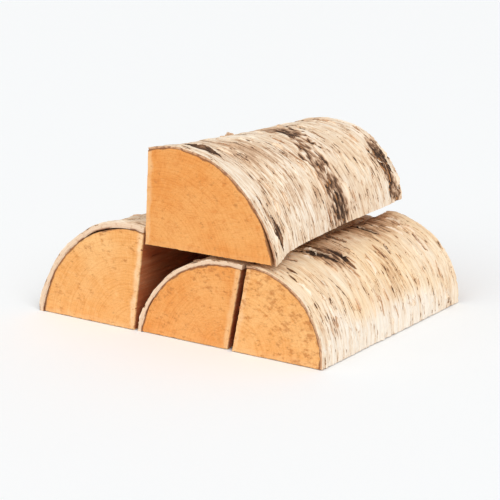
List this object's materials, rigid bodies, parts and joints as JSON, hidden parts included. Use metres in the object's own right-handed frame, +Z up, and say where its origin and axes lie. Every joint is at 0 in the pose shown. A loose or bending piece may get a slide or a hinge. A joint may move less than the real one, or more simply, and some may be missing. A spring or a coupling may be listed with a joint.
{
  "type": "stack of split birch firewood",
  "caption": "Stack of split birch logs with bark on: wedge-shaped pieces lie side by side and one rests on top, for a hearth or a display.",
  "frame": {"origin": "on the floor, under the middle of the stack's footprint", "axes": "+X across the sawn ends from the widest log to the narrowest, +Y along the logs from the near ends to the far ends, +Z up"},
  "size_m": [0.32, 0.251, 0.1756],
  "materials": {
    "birch_log": "sawn and split birch, matt, with white papery bark"
  },
  "bodies": {
    "root": {"log_left": "birch_log", "log_middle": "birch_log", "log_right": "birch_log", "log_top": "birch_log"}
  },
  "joints": []
}
